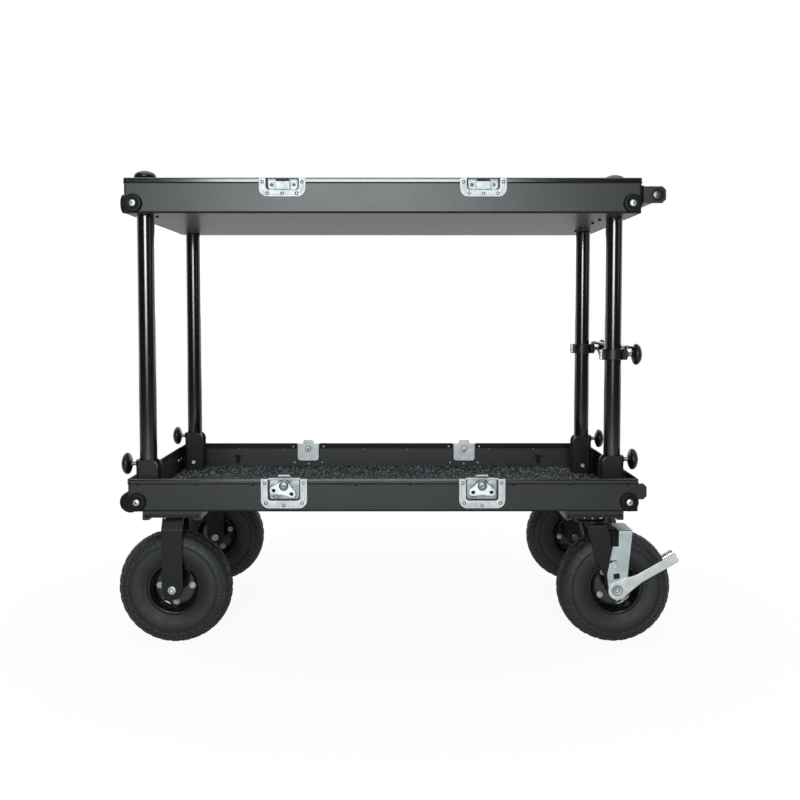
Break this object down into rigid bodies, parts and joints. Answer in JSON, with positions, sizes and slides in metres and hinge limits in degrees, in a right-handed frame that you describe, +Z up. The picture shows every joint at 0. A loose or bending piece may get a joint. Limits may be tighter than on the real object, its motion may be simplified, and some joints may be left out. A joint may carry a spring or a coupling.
{
  "type": "camera cart",
  "caption": "Two-shelf rolling camera cart with tray shelves, four folding tubular posts, butterfly latches, rigid and braked swivel pneumatic casters.",
  "frame": {"origin": "on the floor under the centre of the whole cart", "axes": "+X along the cart towards the swivel casters and push handle, +Y to the far side, +Z up"},
  "size_m": [1.2386, 0.662, 1.047],
  "materials": {
    "coated_black": "satin black powder coat",
    "gloss_black": "gloss black",
    "zinc": "bright zinc plate",
    "rubber": "matt black rubber",
    "pile": "charcoal loop pile",
    "cast_black": "satin black paint"
  },
  "bodies": {
    "lower_frame": {"lower_tray": "coated_black", "lower_carpet": "pile", "bracket_left_near": "coated_black", "bracket_left_far": "coated_black", "bracket_right_near": "coated_black", "bracket_right_far": "coated_black", "latch_dish_left_near": "zinc", "latch_dish_left_far": "zinc", "latch_dish_right_near": "zinc", "latch_dish_right_far": "zinc", "rigid_fork_near": "cast_black", "rigid_fork_far": "cast_black", "swivel_plate_near": "cast_black", "swivel_plate_far": "cast_black"},
    "upper_shelf": {"upper_tray": "coated_black", "upper_carpet": "pile", "push_handle": "coated_black", "keeper_dish_left_near": "zinc", "keeper_dish_left_far": "zinc", "keeper_dish_right_near": "zinc", "keeper_dish_right_far": "zinc"},
    "post_left_near": {"post_left_near": "gloss_black"},
    "post_left_far": {"post_left_far": "gloss_black"},
    "post_right_near": {"post_right_near": "gloss_black"},
    "post_right_far": {"post_right_far": "gloss_black"},
    "tie": {"clamp_collar_near": "cast_black", "clamp_collar_far": "cast_black", "tie_bar": "coated_black"},
    "lock_knob_left_near": {"lock_knob_left_near": "gloss_black"},
    "top_knob_left_near": {"top_knob_left_near": "gloss_black"},
    "latch_wing_left_near": {"latch_wing_left_near": "zinc"},
    "latch_hook_left_near": {"latch_hook_left_near": "zinc"},
    "lock_knob_left_far": {"lock_knob_left_far": "gloss_black"},
    "top_knob_left_far": {"top_knob_left_far": "gloss_black"},
    "latch_wing_left_far": {"latch_wing_left_far": "zinc"},
    "latch_hook_left_far": {"latch_hook_left_far": "zinc"},
    "lock_knob_right_near": {"lock_knob_right_near": "gloss_black"},
    "top_knob_right_near": {"top_knob_right_near": "gloss_black"},
    "latch_wing_right_near": {"latch_wing_right_near": "zinc"},
    "latch_hook_right_near": {"latch_hook_right_near": "zinc"},
    "lock_knob_right_far": {"lock_knob_right_far": "gloss_black"},
    "top_knob_right_far": {"top_knob_right_far": "gloss_black"},
    "latch_wing_right_far": {"latch_wing_right_far": "zinc"},
    "latch_hook_right_far": {"latch_hook_right_far": "zinc"},
    "clamp_knob_near": {"clamp_knob_near": "gloss_black"},
    "swivel_fork_near": {"swivel_fork_near": "cast_black"},
    "wheel_left_near": {"rim_left_near": "gloss_black", "tyre_left_near": "rubber"},
    "wheel_right_near": {"rim_right_near": "gloss_black", "tyre_right_near": "rubber"},
    "brake_yoke_near": {"brake_yoke_near": "zinc"},
    "brake_pedal_near": {"brake_pedal_near": "zinc"},
    "clamp_knob_far": {"clamp_knob_far": "gloss_black"},
    "swivel_fork_far": {"swivel_fork_far": "cast_black"},
    "wheel_left_far": {"rim_left_far": "gloss_black", "tyre_left_far": "rubber"},
    "wheel_right_far": {"rim_right_far": "gloss_black", "tyre_right_far": "rubber"},
    "brake_yoke_far": {"brake_yoke_far": "zinc"},
    "brake_pedal_far": {"brake_pedal_far": "zinc"}
  },
  "joints": [
    {"name": "upper_shelf_lift", "type": "slide", "parent": "lower_frame", "child": "upper_shelf", "axis": [0, 0, 1], "range_m": [0, 0.12]},
    {"name": "post_fold_left_near", "type": "hinge", "parent": "lower_frame", "child": "post_left_near", "pos_m": [-0.5523, -0.27, 0.3303], "axis": [0, 1, 0], "range_deg": [0, 90]},
    {"name": "post_fold_left_far", "type": "hinge", "parent": "lower_frame", "child": "post_left_far", "pos_m": [-0.5523, 0.27, 0.3303], "axis": [0, 1, 0], "range_deg": [0, 90]},
    {"name": "post_fold_right_near", "type": "hinge", "parent": "lower_frame", "child": "post_right_near", "pos_m": [0.4957, -0.202, 0.3303], "axis": [0, -1, 0], "range_deg": [0, 83]},
    {"name": "post_fold_right_far", "type": "hinge", "parent": "lower_frame", "child": "post_right_far", "pos_m": [0.4957, 0.202, 0.3303], "axis": [0, -1, 0], "range_deg": [0, 83]},
    {"name": "tie_slide", "type": "slide", "parent": "post_right_near", "child": "tie", "axis": [0, 0, 1], "range_m": [-0.19, 0.26]},
    {"name": "lock_knob_turn_left_near", "type": "hinge", "parent": "lower_frame", "child": "lock_knob_left_near", "pos_m": [-0.57625, -0.27, 0.4003], "axis": [1, 0, 0], "continuous": true},
    {"name": "top_knob_turn_left_near", "type": "hinge", "parent": "upper_shelf", "child": "top_knob_left_near", "pos_m": [-0.5523, -0.27, 1.0123], "axis": [0, 0, 1], "continuous": true},
    {"name": "lock_knob_turn_left_far", "type": "hinge", "parent": "lower_frame", "child": "lock_knob_left_far", "pos_m": [-0.57625, 0.27, 0.4003], "axis": [1, 0, 0], "continuous": true},
    {"name": "top_knob_turn_left_far", "type": "hinge", "parent": "upper_shelf", "child": "top_knob_left_far", "pos_m": [-0.5523, 0.27, 1.0123], "axis": [0, 0, 1], "continuous": true},
    {"name": "lock_knob_turn_right_near", "type": "hinge", "parent": "lower_frame", "child": "lock_knob_right_near", "pos_m": [0.51965, -0.202, 0.4003], "axis": [1, 0, 0], "continuous": true},
    {"name": "top_knob_turn_right_near", "type": "hinge", "parent": "upper_shelf", "child": "top_knob_right_near", "pos_m": [0.4957, -0.202, 1.0123], "axis": [0, 0, 1], "continuous": true},
    {"name": "lock_knob_turn_right_far", "type": "hinge", "parent": "lower_frame", "child": "lock_knob_right_far", "pos_m": [0.51965, 0.202, 0.4003], "axis": [1, 0, 0], "continuous": true},
    {"name": "top_knob_turn_right_far", "type": "hinge", "parent": "upper_shelf", "child": "top_knob_right_far", "pos_m": [0.4957, 0.202, 1.0123], "axis": [0, 0, 1], "continuous": true},
    {"name": "clamp_knob_turn_near", "type": "hinge", "parent": "tie", "child": "clamp_knob_near", "pos_m": [0.527, -0.202, 0.6413], "axis": [1, 0, 0], "continuous": true},
    {"name": "clamp_knob_turn_far", "type": "hinge", "parent": "tie", "child": "clamp_knob_far", "pos_m": [0.527, 0.202, 0.6413], "axis": [1, 0, 0], "continuous": true},
    {"name": "latch_wing_turn_left_near", "type": "hinge", "parent": "lower_frame", "child": "latch_wing_left_near", "pos_m": [-0.2453, -0.32, 0.358], "axis": [0, 1, 0], "range_deg": [0, 180]},
    {"name": "latch_hook_lift_left_near", "type": "slide", "parent": "lower_frame", "child": "latch_hook_left_near", "axis": [0, 0, 1], "range_m": [0, 0.0061]},
    {"name": "latch_wing_turn_left_far", "type": "hinge", "parent": "lower_frame", "child": "latch_wing_left_far", "pos_m": [-0.2453, 0.32, 0.358], "axis": [0, 1, 0], "range_deg": [0, 180]},
    {"name": "latch_hook_lift_left_far", "type": "slide", "parent": "lower_frame", "child": "latch_hook_left_far", "axis": [0, 0, 1], "range_m": [0, 0.0061]},
    {"name": "latch_wing_turn_right_near", "type": "hinge", "parent": "lower_frame", "child": "latch_wing_right_near", "pos_m": [0.1887, -0.32, 0.358], "axis": [0, 1, 0], "range_deg": [0, 180]},
    {"name": "latch_hook_lift_right_near", "type": "slide", "parent": "lower_frame", "child": "latch_hook_right_near", "axis": [0, 0, 1], "range_m": [0, 0.0061]},
    {"name": "latch_wing_turn_right_far", "type": "hinge", "parent": "lower_frame", "child": "latch_wing_right_far", "pos_m": [0.1887, 0.32, 0.358], "axis": [0, 1, 0], "range_deg": [0, 180]},
    {"name": "latch_hook_lift_right_far", "type": "slide", "parent": "lower_frame", "child": "latch_hook_right_far", "axis": [0, 0, 1], "range_m": [0, 0.0061]},
    {"name": "caster_swivel_near", "type": "hinge", "parent": "lower_frame", "child": "swivel_fork_near", "pos_m": [0.4357, -0.2745, 0.27], "axis": [0, 0, 1], "continuous": true},
    {"name": "wheel_roll_left_near", "type": "hinge", "parent": "lower_frame", "child": "wheel_left_near", "pos_m": [-0.4923, -0.2745, 0.127], "axis": [0, 1, 0], "continuous": true},
    {"name": "wheel_roll_right_near", "type": "hinge", "parent": "swivel_fork_near", "child": "wheel_right_near", "pos_m": [0.4857, -0.2745, 0.127], "axis": [0, 1, 0], "continuous": true},
    {"name": "brake_press_near", "type": "hinge", "parent": "swivel_fork_near", "child": "brake_pedal_near", "pos_m": [0.4857, -0.2745, 0.127], "axis": [0, 1, 0], "range_deg": [0, 25]},
    {"name": "brake_yoke_drop_near", "type": "slide", "parent": "swivel_fork_near", "child": "brake_yoke_near", "axis": [0, 0, -1], "range_m": [0, 0.00221]},
    {"name": "caster_swivel_far", "type": "hinge", "parent": "lower_frame", "child": "swivel_fork_far", "pos_m": [0.4357, 0.2745, 0.27], "axis": [0, 0, 1], "continuous": true},
    {"name": "wheel_roll_left_far", "type": "hinge", "parent": "lower_frame", "child": "wheel_left_far", "pos_m": [-0.4923, 0.2745, 0.127], "axis": [0, 1, 0], "continuous": true},
    {"name": "wheel_roll_right_far", "type": "hinge", "parent": "swivel_fork_far", "child": "wheel_right_far", "pos_m": [0.4857, 0.2745, 0.127], "axis": [0, 1, 0], "continuous": true},
    {"name": "brake_press_far", "type": "hinge", "parent": "swivel_fork_far", "child": "brake_pedal_far", "pos_m": [0.4857, 0.2745, 0.127], "axis": [0, 1, 0], "range_deg": [0, 25]},
    {"name": "brake_yoke_drop_far", "type": "slide", "parent": "swivel_fork_far", "child": "brake_yoke_far", "axis": [0, 0, -1], "range_m": [0, 0.00221]}
  ],
  "couplings": [
    {"joint": "post_fold_right_far", "follows": "post_fold_right_near", "ratio": 1},
    {"joint": "latch_hook_lift_left_near", "follows": "latch_wing_turn_left_near", "m_per_rad": 0.0019099},
    {"joint": "latch_hook_lift_left_far", "follows": "latch_wing_turn_left_far", "m_per_rad": 0.0019099},
    {"joint": "latch_hook_lift_right_near", "follows": "latch_wing_turn_right_near", "m_per_rad": 0.0019099},
    {"joint": "latch_hook_lift_right_far", "follows": "latch_wing_turn_right_far", "m_per_rad": 0.0019099},
    {"joint": "brake_yoke_drop_near", "follows": "brake_press_near", "m_per_rad": 0.005042},
    {"joint": "brake_yoke_drop_far", "follows": "brake_press_far", "m_per_rad": 0.005042}
  ]
}
